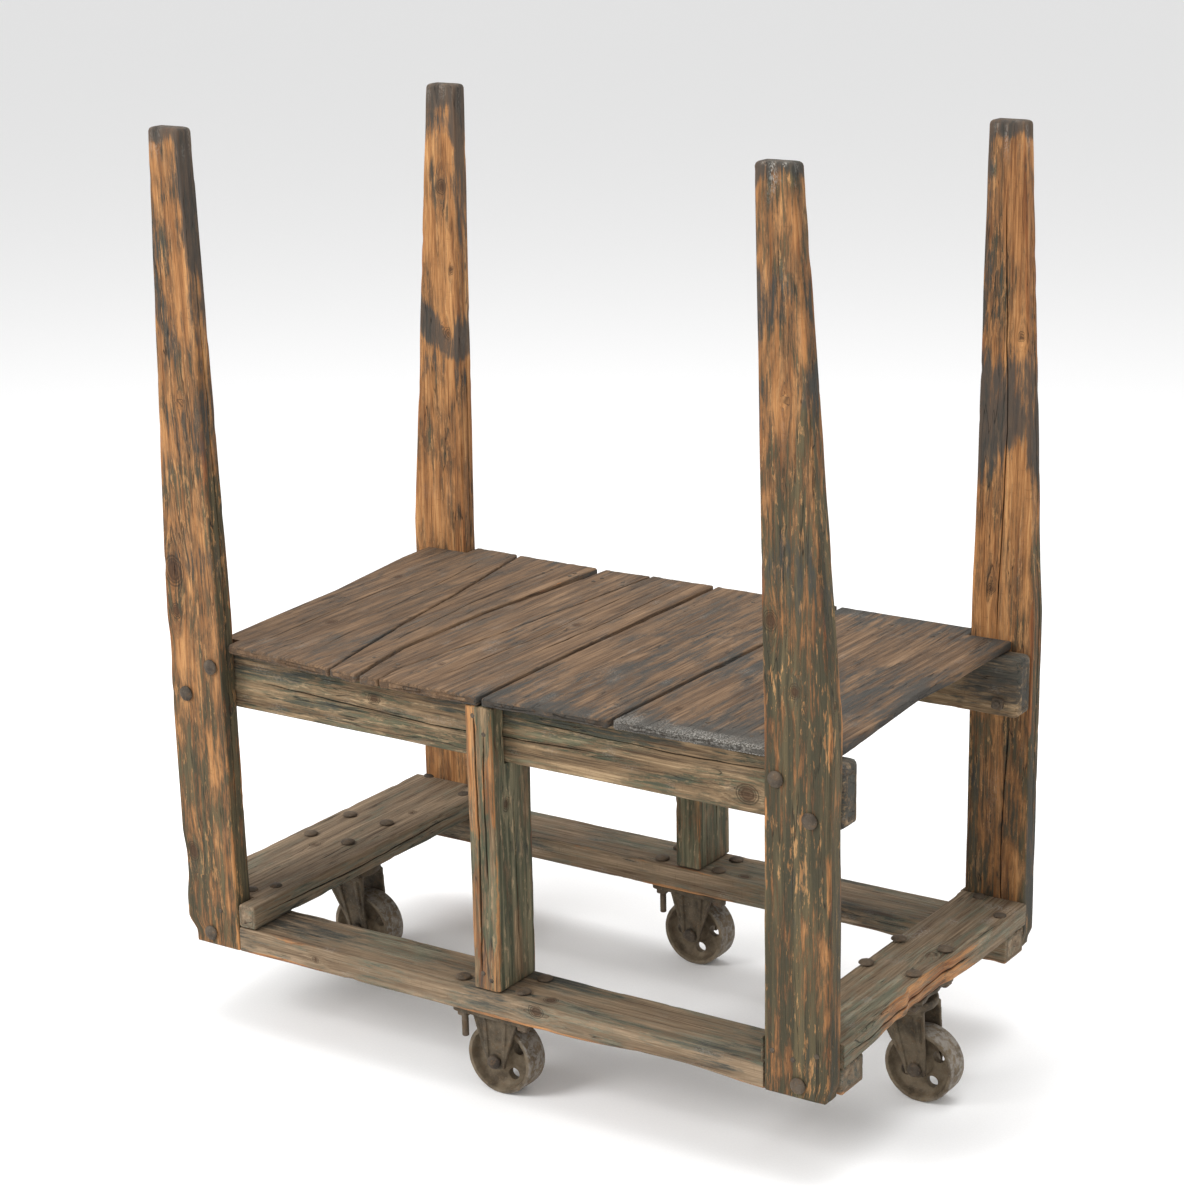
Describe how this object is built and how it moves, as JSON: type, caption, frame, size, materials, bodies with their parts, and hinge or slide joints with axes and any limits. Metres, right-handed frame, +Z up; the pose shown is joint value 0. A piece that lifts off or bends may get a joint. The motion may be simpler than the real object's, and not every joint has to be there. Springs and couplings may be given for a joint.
{
  "type": "mine cart",
  "caption": "Timber mine cart with tapered corner posts, plank deck, bolted base frame, rigid casters at mid length and swivel casters at the ends.",
  "frame": {"origin": "on the floor under the middle of the outline", "axes": "+X along the cart towards the end with the narrower end beam, +Y across it, +Z up"},
  "size_m": [1.0818, 0.606, 1.273],
  "materials": {
    "post_wood": "weathered bare pine with paint remnants",
    "deck_wood": "worn grey-brown boards",
    "upper_frame_wood": "worn dark green paint over wood",
    "base_frame_wood": "worn olive paint over wood",
    "bolt_iron": "rusted",
    "caster_iron": "grimy casting",
    "wheel_iron": "worn casting, tread polished by use"
  },
  "bodies": {
    "frame": {"post_front_left": "post_wood", "post_front_right": "post_wood", "post_back_left": "post_wood", "post_back_right": "post_wood", "top_rail_front": "upper_frame_wood", "top_rail_back": "upper_frame_wood", "bottom_rail_front": "base_frame_wood", "bottom_rail_back": "base_frame_wood", "strut_front": "upper_frame_wood", "strut_back": "upper_frame_wood", "end_beam_left": "base_frame_wood", "end_beam_right": "base_frame_wood", "deck_plank_1": "deck_wood", "deck_plank_2": "deck_wood", "deck_plank_3": "deck_wood", "deck_plank_4": "deck_wood", "bolt_front_left_upper": "bolt_iron", "bolt_front_left_lower": "bolt_iron", "bolt_front_left_foot": "bolt_iron", "bolt_front_right_upper": "bolt_iron", "bolt_front_right_lower": "bolt_iron", "bolt_front_right_foot": "bolt_iron", "bolt_back_left_upper": "bolt_iron", "bolt_back_left_lower": "bolt_iron", "bolt_back_left_foot": "bolt_iron", "bolt_back_right_upper": "bolt_iron", "bolt_back_right_lower": "bolt_iron", "bolt_back_right_foot": "bolt_iron", "front_caster_bolt_1": "bolt_iron", "front_caster_bolt_2": "bolt_iron", "front_caster_bolt_3": "bolt_iron", "front_caster_bolt_4": "bolt_iron", "back_caster_bolt_1": "bolt_iron", "back_caster_bolt_2": "bolt_iron", "back_caster_bolt_3": "bolt_iron", "back_caster_bolt_4": "bolt_iron", "left_caster_bolt_1": "bolt_iron", "left_caster_bolt_2": "bolt_iron", "left_caster_bolt_3": "bolt_iron", "left_caster_bolt_4": "bolt_iron", "right_caster_bolt_1": "bolt_iron", "right_caster_bolt_2": "bolt_iron", "right_caster_bolt_3": "bolt_iron", "right_caster_bolt_4": "bolt_iron", "front_caster_horn": "caster_iron", "back_caster_horn": "caster_iron", "left_swivel_plate": "caster_iron", "right_swivel_plate": "caster_iron", "left_kingpin": "bolt_iron", "right_kingpin": "bolt_iron", "front_axle": "bolt_iron", "back_axle": "bolt_iron"},
    "left_swivel": {"left_swivel_fork": "caster_iron", "left_axle": "bolt_iron"},
    "right_swivel": {"right_swivel_fork": "caster_iron", "right_axle": "bolt_iron"},
    "front_wheel": {"front_wheel": "wheel_iron"},
    "back_wheel": {"back_wheel": "wheel_iron"},
    "left_wheel": {"left_wheel": "wheel_iron"},
    "right_wheel": {"right_wheel": "wheel_iron"}
  },
  "joints": [
    {"name": "left_swivel_turn", "type": "hinge", "parent": "frame", "child": "left_swivel", "pos_m": [-0.4779, 0.015, 0.141], "axis": [0, 0, 1], "continuous": true},
    {"name": "right_swivel_turn", "type": "hinge", "parent": "frame", "child": "right_swivel", "pos_m": [0.4601, 0.015, 0.141], "axis": [0, 0, 1], "continuous": true},
    {"name": "front_wheel_spin", "type": "hinge", "parent": "frame", "child": "front_wheel", "pos_m": [-0.0059, -0.249, 0.0508], "axis": [0, 1, 0], "continuous": true},
    {"name": "back_wheel_spin", "type": "hinge", "parent": "frame", "child": "back_wheel", "pos_m": [-0.0059, 0.249, 0.0508], "axis": [0, 1, 0], "continuous": true},
    {"name": "left_wheel_spin", "type": "hinge", "parent": "left_swivel", "child": "left_wheel", "pos_m": [-0.4479, 0.015, 0.0508], "axis": [0, 1, 0], "continuous": true},
    {"name": "right_wheel_spin", "type": "hinge", "parent": "right_swivel", "child": "right_wheel", "pos_m": [0.4901, 0.015, 0.0508], "axis": [0, 1, 0], "continuous": true}
  ]
}
